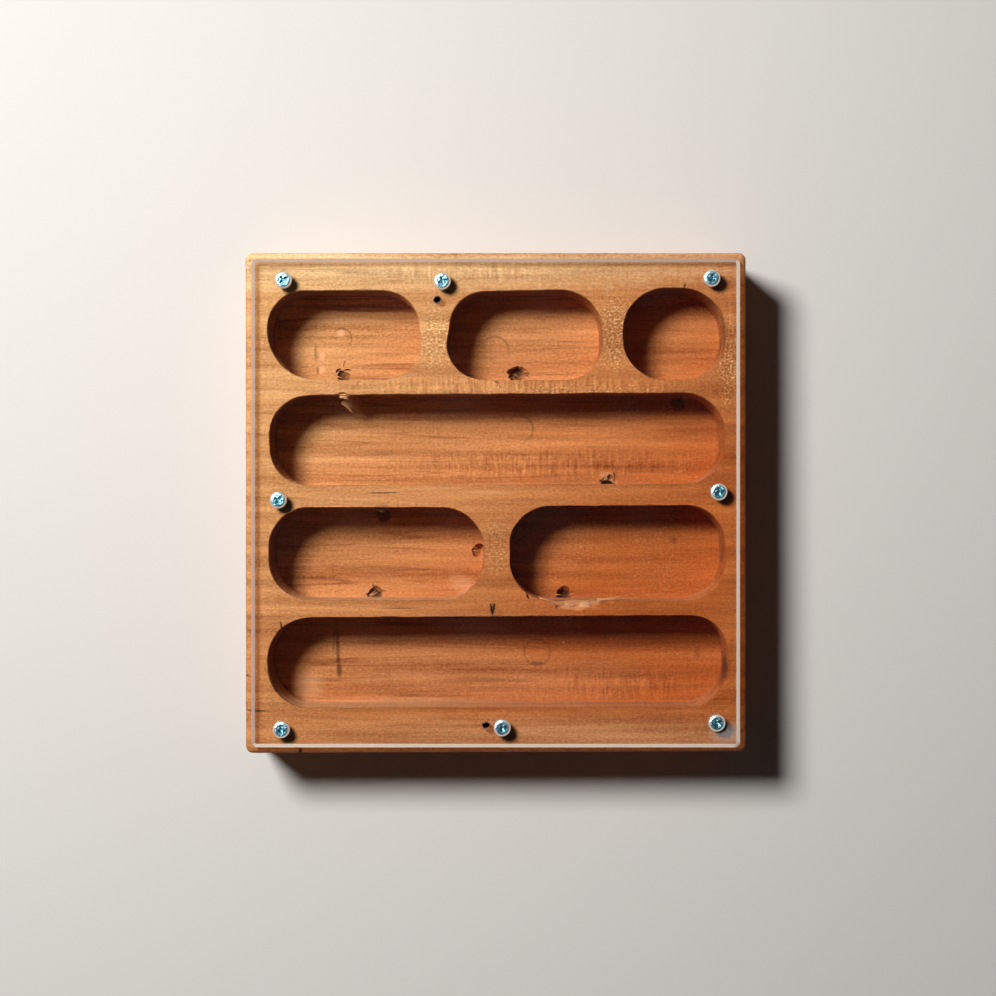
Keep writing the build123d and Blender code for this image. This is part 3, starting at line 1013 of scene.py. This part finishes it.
looseValues = {
    "fibresAtMouth": 5,
    "fibreLength": (1.0, 3.0),
    "fibreWidth": (0.18, 0.5),
    "shortUnder": 3.5,  # mm; shorter fibres curl either way, longer ones hardly
    "shortCurl": (-0.25, 0.25),
    "longCurl": (-0.06, 0.1),
    # bundles of torn fibres: root and tip in mm, how many, how far their roots spread, how wide each
    "bundles": {
        "longBackCurl": ((-60.6, 42.4, 32.0), (-56.0, 38.6, 28.0), 30, 2.6, 0.7),
        "longBackCurlLow": ((-58.6, 42.2, 27.0), (-54.0, 37.2, 23.5), 24, 2.2, 0.6),
        "longBackStrip": ((-62.2, 42.4, 38.0), (-57.6, 41.9, 38.2), 5, 0.4, 0.4),
        "frontLeftLip": ((-47.6, -2.4, 36.0), (-43.4, -3.3, 35.2), 8, 0.5, 0.35),
        "longBackMouth": ((44.4, 9.4, 14.9), (44.8, 12.4, 15.7), 7, 2.0, 0.55),
        "longBackChip": ((49.8, 8.2, 14.9), (45.8, 9.8, 15.7), 4, 0.5, 0.9),
        "backLeftBridge": ((-65.6, 52.3, 14.9), (-62.8, 54.9, 15.3), 3, 0.2, 0.5),
        "frontRightSplinters": ((17.4, -38.4, 38.0), (23.4, -40.4, 39.2), 12, 0.9, 0.35),
        "frontRightLump": ((27.0, -41.0, 37.4), (32.4, -40.2, 38.8), 10, 1.4, 0.5),
        "frontRightRim": ((33.8, -41.2, 38.0), (39.6, -39.8, 39.2), 18, 1.3, 0.5),
        "frontRightStrip": ((40.4, -38.6, 38.5), (52.6, -37.0, 39.3), 7, 0.5, 0.4),
        "longFrontHairs": ((24.8, -42.4, 38.8), (25.4, -43.7, 33.4), 5, 1.2, 0.35),
        "longFrontHairsRight": ((29.6, -42.4, 38.8), (30.0, -43.5, 34.4), 3, 0.5, 0.35),
        "frontLeftMouth": ((-51.6, -37.9, 14.8), (-47.6, -35.6, 15.3), 4, 0.8, 0.3),
    },
    # specks of dust and chips on the chambers' floors, in mm
    "specks": (
        (58.1, 38.1, 0.55), (-55.7, -53.1, 0.35), (-85.7, -60.5, 0.35), (-77.9, -55.1, 0.35),
        (-15.5, -55.5, 0.3), (27.7, -57.2, 0.4), (36.7, -62.1, 0.35), (54.4, -50.2, 0.35),
        (-74.2, -9.5, 0.35), (-21.5, -5.4, 0.45), (74.5, -62.0, 0.35), (62.0, 33.0, 0.3),
    ),
}


def addFibre(shell, root, direction, length, width):
    # a splinter that tapers and curls a little
    values = looseValues
    direction = direction.normalized()
    side = direction.cross(Vector((0.3, 0.2, 1))).normalized()
    lift = side.cross(direction).normalized()
    curl = dice.uniform(*values["shortCurl" if length < values["shortUnder"] else "longCurl"])
    shares = [step / 5 for step in range(6)]
    centres = [root + direction * length * s + lift * curl * length * s * s * 0.5 for s in shares]
    radii = [width * 0.5 * (1.05 - s) ** 0.8 for s in shares]
    addTube(shell, centres, radii, side, lift * 0.4, 6)


def addMouthFibres(shell, passage, middle, side):
    # round a passage's mouth or foot, fibres that hang into the bore, mostly along the grain
    values = looseValues
    way, across, upward = passageFrame(passage)
    for _ in range(values["fibresAtMouth"]):
        angle = dice.uniform(0, math.tau)
        reach = across * math.cos(angle) + upward * math.sin(angle)
        rim = middle + reach * (blockValues["passageRadius"] + 0.1)
        grain = Vector((dice.choice([-1, 1]), dice.uniform(-0.35, 0.35), dice.uniform(-0.3, 0.3)))
        direction = grain * 0.8 - reach * 0.6 + way * side * dice.uniform(-0.3, 0.3)
        if floorHeight < rim.z < topHeight - 1:
            length, width = dice.uniform(*values["fibreLength"]), dice.uniform(*values["fibreWidth"])
            addFibre(shell, rim - direction.normalized() * 0.7, direction, length, width)


def addBundle(shell, root, tip, count, spread, width):
    root, tip = Vector(root), Vector(tip)
    way = tip - root
    side = way.cross(Vector((0.1, 0.2, 1))).normalized()
    for _ in range(count):
        start = root + side * dice.uniform(-spread, spread)
        start += Vector((0, 0, dice.uniform(-0.2, 0.2) * spread))
        direction = way + side * dice.uniform(-0.2, 0.2) * way.length
        length = way.length * dice.uniform(0.55, 1.05)
        addFibre(shell, start, direction, length, width * dice.uniform(0.6, 1.2))


def buildFibres():
    shell = Shell()
    for passage in passages:
        way, foot = Vector(passage["way"]), Vector(passage["foot"])
        addMouthFibres(shell, passage, foot - way * passage["run"], -1.0)
        addMouthFibres(shell, passage, foot - way * 0.6, 1.0)
    for bundle in looseValues["bundles"].values():
        addBundle(shell, *bundle)
    return shell


def buildDust():
    gathered = bmesh.new()
    for x, y, size in looseValues["specks"]:
        made = bmesh.ops.create_icosphere(gathered, subdivisions=2, radius=size * mm)["verts"]
        for vertex in made:
            vertex.co *= 1 + 0.35 * noise.noise(vertex.co / (size * mm) + Vector((x, y, 0)))
            vertex.co.z *= 0.6
            vertex.co += Vector((x, y, floorHeight + 0.12 + size * 0.45)) * mm
    made = bpy.data.meshes.new("dust")
    gathered.to_mesh(made)
    gathered.free()
    return made


fibres = addPiece("tornFibres", meshOf(buildFibres()), "block", tornWood)
dust = addPiece("woodDust", buildDust(), "block", tornWood)
smooth(fibres.data, 50)
smooth(dust.data, 60)
print("fibres and dust laid")


# Cover

coverValues = {
    # painted light: the whiter frost of the right and front edges
    "whiteFrost": "#FFEAD6",
    "greyFrost": "#B9A89F",
    "innerGlow": "#F2EEE8",
    "edgeShade": "#C9B6A4",
    "sheet": "#FEFFFE",
    "throughSheet": "#FDFEFD",
    "dust": "#F3ECE4",
    "sheetIor": 1.49,
    # patterns' sizes in mm; the saw marks are 0.2 mm apart on a real edge, and drawn coarser to show
    "patterns": {
        "saw": ((0.7, 0.7, 40.0), 2.0),
        "smudge": ((28.0, 40.0, 20.0), 2.0),
        "dustFilm": ((1.1, 1.1, 1.1), 2.0),
    },
    "sawMarks": (0.4, 0.08),  # strength and depth
    "tilt": 1.8,  # how far the painted white frost takes its light as if it faced up
    # painted reflection: a whiter film at the front right corner
    "hazePlace": (92.0, -91.5, 44.0),
    "hazeSize": (9.0, 5.0, 4.0),
    # the value from which and to which each one is mapped, and what it gives there
    "spans": {
        "edge": (0.95, 0.85),
        "haze": (1.0, 0.2, 0.0, 0.22),
        "smudge": (0.45, 0.75, 0.0005, 0.007),
        "glow": (-0.5, 0.5),
        "sawn": (0.0, 1.0, 0.88, 1.18),
        "rough": (0.0, 1.0, 0.3, 0.55),
        "lowered": (0.3, -0.3, 0.0, 0.75),
        "behind": (0.0, 1.0, 0.42, 0.05),  # how much shows through the grey and the painted white frost
    },
}


def clearSheet(add, inMm, layers):
    # polished acrylic under a thin film of dust and finger marks, with the film painted thicker at the front
    # right corner as a painted reflection
    values, spans = coverValues, spansOf(coverValues)
    sheet = {"Base Color": linearColour(values["sheet"]), "IOR": values["sheetIor"], "Roughness": 0.0}
    glass = add("BsdfPrincipled", {"Transmission Weight": 1.0, **sheet})
    film = add("BsdfDiffuse", [linearColour(values["dust"])])
    corner = {"Location": values["hazePlace"], "Scale": values["hazeSize"], 0: inMm}
    haze = add("Mapping", {"vector_type": "TEXTURE", **corner})
    haze = add("VectorMath LENGTH", [haze])
    haze = add("MapRange", {**spans["haze"], 0: haze})
    filmAndReflection = add("MapRange", {**spans["smudge"], 0: layers["smudge"]})
    filmAndReflection = add("Math MULTIPLY", [filmAndReflection, layers["dustFilm"]])
    filmAndReflection = add("Math ADD", [filmAndReflection, haze])
    return add("MixShader", [filmAndReflection, glass, film])


def frostedEdge(add, layers, facing):
    # painted light: the right and front edges are painted whiter, for light gathered in the sheet that leaves
    # through them
    values, spans = coverValues, spansOf(coverValues)
    toCorner = add("Math SUBTRACT", [facing[0], facing[1]])
    glow = add("MapRange", {**spans["glow"], 0: toCorner})
    frost = layColours(add, values, "greyFrost", [("whiteFrost", glow)])
    sawn = add("MapRange", {**spans["sawn"], 0: layers["saw"]})
    frost = add("VectorMath SCALE", {0: frost, "Scale": sawn})
    # frost scatters what falls on the sheet above it, as if it faced up
    tilt = add("Math MULTIPLY", [glow, values["tilt"]])
    tilt = add("CombineXYZ", {2: tilt})
    normal = add("NewGeometry").outputs["Normal"]
    normal = add("VectorMath ADD", [normal, tilt])
    normal = add("VectorMath NORMALIZE", [normal])
    strength, depth = values["sawMarks"]
    marks = {"Strength": strength, "Distance": depth * mm, "Height": layers["saw"]}
    bump = add("Bump", {**marks, "Normal": normal})
    rough = add("MapRange", {**spans["rough"], 0: layers["saw"]})
    finish = {"IOR": values["sheetIor"], "Base Color": frost, "Roughness": rough}
    edge = add("BsdfPrincipled", {**finish, "Normal": bump})
    # upright and underneath, the frost is lit from within the sheet
    lowered = add("MapRange", {**spans["lowered"], 0: facing[2]})
    within = add("BsdfTranslucent", [linearColour(values["innerGlow"])])
    edge = add("MixShader", [lowered, edge, within])
    seenThrough = add("MapRange", {**spans["behind"], 0: glow})
    return add("MixShader", [seenThrough, edge, add("BsdfTransparent")])


def castAcrylic():
    # clear cast acrylic: polished faces, edges sawn and bevelled to a white frost
    values = coverValues
    made, add = newMaterial("cast acrylic with sawn edges")
    inMm = inMillimetres(add)
    layers = addPatterns(add, inMm, values["patterns"])
    facing = trueFacing(add)
    upright = add("Math ABSOLUTE", [facing[2]])
    onEdge = add("MapRange", {**spansOf(values)["edge"], 0: upright})
    sheet, edge = clearSheet(add, inMm, layers), frostedEdge(add, layers, facing)
    seen = add("MixShader", [onEdge, sheet, edge])
    # lamplight passes the sheet and, weaker, its frosted edges
    passed = layColours(add, values, "throughSheet", [("edgeShade", onEdge)])
    passed = add("BsdfTransparent", [passed])
    rays = add("LightPath").outputs
    lampOrBounce = add("Math MAXIMUM", [rays["Is Shadow Ray"], rays["Is Diffuse Ray"]])
    surface = add("MixShader", [lampOrBounce, seen, passed])
    add("OutputMaterial", [surface])
    return made


frame["nodes"]["clear_cover"].material_slots[0].material = castAcrylic()
print("cover finished")


# Screws

screwValues = {
    # in mm
    "headRadius": 3.4,
    "headHeight": 2.4,
    "headEdge": 1.3,
    "headFlat": 2.2,
    "headBreak": 0.12,
    "neck": (0.25, 0.3),  # how much wider than the shank it is under the head, and how deep
    "rootRadius": 1.3,
    "threadRadius": 1.75,
    "threadPitch": 1.5,
    "threadFrom": 1.2,
    "threadHalf": (0.34, 0.05),  # of the thread's foot and crest, along the screw
    "threadSunk": 0.2,
    "threadShort": 2.2,  # how much shorter than the shank
    "threadCore": 0.3,  # least radius it winds round at the point
    "threadLow": 0.25,  # share of its height that is left there
    "threadSteps": (26, 12),  # a turn, and until it has risen
    "length": 16.0,
    "point": 3.0,
    "tip": (0.55, 0.9, 0.12),  # the point's radius, how far above its end that is, and the end's radius
    "crossSpan": 3.9,
    "crossSlot": 1.0,
    "crossDepth": 1.55,
    "crossTaper": 8.0,  # degrees
    "crossAbove": (0.4, -0.05),  # how far above the head its cutter starts, and how far it is drawn in there
    "crossFoot": (0.75, 0.55),  # share of its depth from which, and of its half span by which, it is drawn in
    "sharpFrom": 35.0,  # degrees between faces that show as an edge
    # degrees that each cross is turned
    "turns": {
        "screw_back_left": 40,
        "screw_back_middle": 20,
        "screw_back_right": 5,
        "screw_middle_left": 62,
        "screw_middle_right": 24,
        "screw_front_left": 10,
        "screw_front_middle": 30,
        "screw_front_right": 48,
    },
    "blueZinc": "#7DB5C6",
    # pale for the shank, and as a painted reflection round the head's rim
    "paleZinc": "#F4F5F3",
    "scuff": "#DDE4E4",
    # patterns' sizes in mm
    "patterns": {
        "scuff": ((0.5, 0.5, 0.5), 3.0),
        "tint": ((2.6, 2.6, 2.6), 1.0),
        "dent": ((0.9, 0.9, 0.9), 1.0),
    },
    "tintShift": 0.7,
    "dents": (1.0, 0.35),  # strength and depth
    "scuffs": (0.9, 0.12),
    # the value from which and to which each one is mapped, and what it gives there
    "spans": {
        "rim": (2.45, 3.1),
        "shank": (0.7, 0.2, 0.0, 0.7),
        "worn": (0.55, 0.75, 0.0, 0.7),
        "gloss": (0.0, 1.0, 0.24, 0.42),
        "middle": (2.5, 2.0),
    },
}


def zincPlate():
    # blue passivated zinc on steel: pale round the head's rim as a painted reflection of the bright room,
    # blue in the recess, faint tumbling scuffs
    values, spans = screwValues, spansOf(screwValues)
    made, add = newMaterial("blue zinc plated steel")
    inMm = inMillimetres(add)
    layers = addPatterns(add, inMm, values["patterns"])
    place = add("SeparateXYZ", [inMm]).outputs
    radius = add("CombineXYZ", [place[0], place[1]])
    radius = add("VectorMath LENGTH", [radius])
    # painted reflection: the head's rim is painted pale
    rim = add("Math MULTIPLY_ADD", [layers["tint"], values["tintShift"], radius])
    rim = add("MapRange", {**spans["rim"], 0: rim})
    shank = add("MapRange", {**spans["shank"], 0: place[2]})
    reflectionOrShank = add("Math MAXIMUM", [rim, shank])
    worn = add("MapRange", {**spans["worn"], 0: layers["scuff"]})
    colour = layColours(add, values, "blueZinc", [("paleZinc", reflectionOrShank), ("scuff", worn)])
    gloss = add("MapRange", {**spans["gloss"], 0: layers["scuff"]})
    # the driver's slips have dented the middle, so that it glitters
    middle = add("MapRange", {**spans["middle"], 0: radius})
    dents = add("Math SUBTRACT", [layers["dent"], 0.5])
    dents = add("Math MULTIPLY", [dents, middle])
    strength, depth = values["dents"]
    bump = add("Bump", {"Strength": strength, "Distance": depth * mm, "Height": dents})
    strength, depth = values["scuffs"]
    scuffs = {"Strength": strength, "Distance": depth * mm, "Height": layers["scuff"]}
    bump = add("Bump", {**scuffs, "Normal": bump})
    finish = {"Metallic": 1.0, "Base Color": colour, "Roughness": gloss}
    surface = add("BsdfPrincipled", {**finish, "Normal": bump})
    add("OutputMaterial", [surface])
    return made


def buildScrew():
    # head, shank and point turned from one outline of radius and height, from the top down
    values = screwValues
    flat, edge, root, length = (values[name] for name in ("headFlat", "headEdge", "rootRadius", "length"))
    swell, rise = values["headRadius"] - flat, values["headHeight"] - edge
    (wider, under), (near, up, end) = values["neck"], values["tip"]
    outline = [(flat * 0.5, values["headHeight"])]
    dome = np.radians(np.linspace(0, 90, 9))
    outline += [(flat + swell * math.sin(a), edge + rise * math.cos(a)) for a in dome]
    outline += [(flat + swell, values["headBreak"]), (flat + swell - values["headBreak"], 0.0)]
    outline += [(root + wider, 0.0), (root, -under)]
    outline += [(root, -length + values["point"]), (near, -length + up), (end, -length)]
    centres = [Vector((0, 0, height)) for _, height in outline]
    shell = Shell()
    addTube(shell, centres, [radius for radius, _ in outline], Vector((1, 0, 0)), Vector((0, 1, 0)), 64)
    return shell


def buildThread():
    # a flat-topped ridge that winds down the shank and fades at both ends
    values = screwValues
    root, pitch, low = values["rootRadius"], values["threadPitch"], values["threadLow"]
    perTurn, toRise = values["threadSteps"]
    footHalf, crestHalf = values["threadHalf"]
    count = int((values["length"] - values["threadShort"]) / pitch * perTurn)
    sections = []
    for step in range(count + 1):
        angle = math.tau * step / perTurn
        height = -values["threadFrom"] - step / perTurn * pitch
        toPoint = min(max((values["length"] + height) / values["point"], 0), 1)
        taper = min(step / toRise, 1) * (low + (1 - low) * toPoint)
        core = max(root * toPoint, values["threadCore"])
        crest = core + (values["threadRadius"] - root) * taper
        foot = core - values["threadSunk"]
        corners = ((foot, footHalf), (crest, crestHalf), (crest, -crestHalf), (foot, -footHalf))
        sections.append([(r * math.cos(angle), r * math.sin(angle), height + rise) for r, rise in corners])
    shell = Shell()
    shell.loft(sections)
    return shell


def buildCross():
    # the recess, tapered slightly and then drawn in to its foot
    values = screwValues
    top, deep = values["headHeight"], values["crossDepth"]
    narrow = deep * math.tan(math.radians(values["crossTaper"]))
    half, slot = values["crossSpan"] / 2, values["crossSlot"] / 2
    (above, wide), (straight, drawn) = values["crossAbove"], values["crossFoot"]
    sections = []
    for height, inset in ((top + above, wide), (top - deep * straight, narrow), (top - deep, half * drawn)):
        h, s = half - inset, slot - min(inset, slot * 0.5)
        quarter = [(h, s), (s, s), (s, h)]
        mirrored = [(-x, y) for x, y in quarter[::-1]]
        flat = quarter + mirrored
        flat += [(x, -y) for x, y in flat[::-1]]
        sections.append([(x, y, height) for x, y in flat])
    shell = Shell()
    shell.loft(sections)
    return shell


pattern = addObject("pattern", meshOf(buildScrew()))
combine(pattern, buildThread(), "UNION")
combine(pattern, buildCross(), "DIFFERENCE")
smooth(pattern.data, screwValues["sharpFrom"])
pattern.data.materials.clear()
pattern.data.materials.append(zincPlate())
for node, turn in screwValues["turns"].items():
    lowest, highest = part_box(node)
    seat = highest.z - screwValues["headHeight"] * mm
    seat = ((lowest.x + highest.x) / 2, (lowest.y + highest.y) / 2, seat)
    screw = addObject(node.replace("screw_", "screw."), pattern.data.copy())
    screw.matrix_world = Matrix.Translation(seat) @ Matrix.Rotation(math.radians(turn), 4, "Z")
    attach(screw, node)
    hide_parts(node)
bpy.data.objects.remove(pattern)
print("screws driven")


# Floor, light, camera

stageValues = {
    "floorColour": "#DDD9D3",
    "floorSize": 14.0,  # m, as the places below
    "evenFrom": (300.0, 650.0),  # mm from the middle over which the floor turns to an even backdrop
    "patterns": {"tooth": ((0.8, 0.8, 0.8), 2.0)},
    "tooth": (0.15, 0.1),  # strength and depth
    "roughness": 0.9,
    "lampPlace": (-0.49, 0.42, 0.95),
    "lampSize": 0.33,
    "lampPower": 15.4,
    "worldColour": "#F1EEEA",
    "fill": 0.014,  # the room's light on the object
    "wallsSeen": 0.85,  # how bright the room's walls and ceiling look, in the background and in reflections
    "ceilingSeen": 0.018,
    "ceilingFrom": (0.25, 0.8),  # upward share of the direction at which walls turn to ceiling
    "cameraPlace": (0.000957, 0.00199, 0.88),
    "lens": 76.11,
}


def seenRays(add):
    # 1 for rays from the camera, off metal and through glass
    rays = add("LightPath").outputs
    seen = add("Math MAXIMUM", [rays["Is Camera Ray"], rays["Is Glossy Ray"]])
    return add("Math MAXIMUM", [seen, rays["Is Transmission Ray"]])


def pressedPaper():
    # matt backdrop paper: fine even tooth, no shine
    values = stageValues
    made, add = newMaterial("matt backdrop paper")
    inMm = inMillimetres(add)
    tooth = addPatterns(add, inMm, values["patterns"])["tooth"]
    strength, depth = values["tooth"]
    bump = add("Bump", {"Strength": strength, "Distance": depth * mm, "Height": tooth})
    colour = linearColour(values["floorColour"])
    paper = add("BsdfPrincipled", {"Base Color": colour, "Roughness": values["roughness"], "Normal": bump})
    # far from the block it is an even pale backdrop, as bright as the room's walls
    even = add("Emission", [linearColour(values["worldColour"]), values["wallsSeen"]])
    far = add("VectorMath LENGTH", [inMm])
    start, end = values["evenFrom"]
    far = add("MapRange", {"From Min": start, "From Max": end, 0: far})
    shown = add("Math MULTIPLY", [far, seenRays(add)])
    surface = add("MixShader", [shown, paper, even])
    add("OutputMaterial", [surface])
    return made


def setFloor():
    half = stageValues["floorSize"] / 2
    mesh = bpy.data.meshes.new("floor")
    corners = [(-half, -half, 0), (half, -half, 0), (half, half, 0), (-half, half, 0)]
    mesh.from_pydata(corners, [], [(0, 1, 2, 3)])
    mesh.materials.append(pressedPaper())
    addObject("floor", mesh)


def setLight():
    # one lamp at the back left, and a dim room that looks bright where it is seen
    values = stageValues
    lamp = bpy.data.lights.new("key", "AREA")
    lamp.shape = "DISK"
    lamp.size = values["lampSize"]
    lamp.energy = values["lampPower"]
    key = addObject("key", lamp)
    key.location = values["lampPlace"]
    key.rotation_euler = (-Vector(values["lampPlace"])).to_track_quat("-Z", "Y").to_euler()
    world = bpy.data.worlds.new("room")
    bpy.context.scene.world = world
    add = emptyTree(world)
    heading = add("TexCoord").outputs["Generated"]
    upward = add("SeparateXYZ", [heading]).outputs[2]
    start, end = values["ceilingFrom"]
    walls, ceiling = values["wallsSeen"], values["ceilingSeen"]
    seen = {"From Min": start, "From Max": end, "To Min": walls, "To Max": ceiling, 0: upward}
    seen = add("MapRange", seen)
    strength = add("MapRange", {"To Min": values["fill"], "To Max": seen, 0: seenRays(add)})
    sky = add("Background", [linearColour(values["worldColour"]), strength])
    add("OutputWorld", [sky])


def setCamera():
    view = bpy.data.cameras.new("view")
    view.lens = stageValues["lens"]
    view.sensor_width = 36
    view.clip_start = 0.01
    camera = addObject("view", view)
    camera.location = stageValues["cameraPlace"]
    bpy.context.scene.camera = camera


setFloor()
setLight()
setCamera()
bpy.context.scene.view_settings.view_transform = "Standard"
print("stage set")
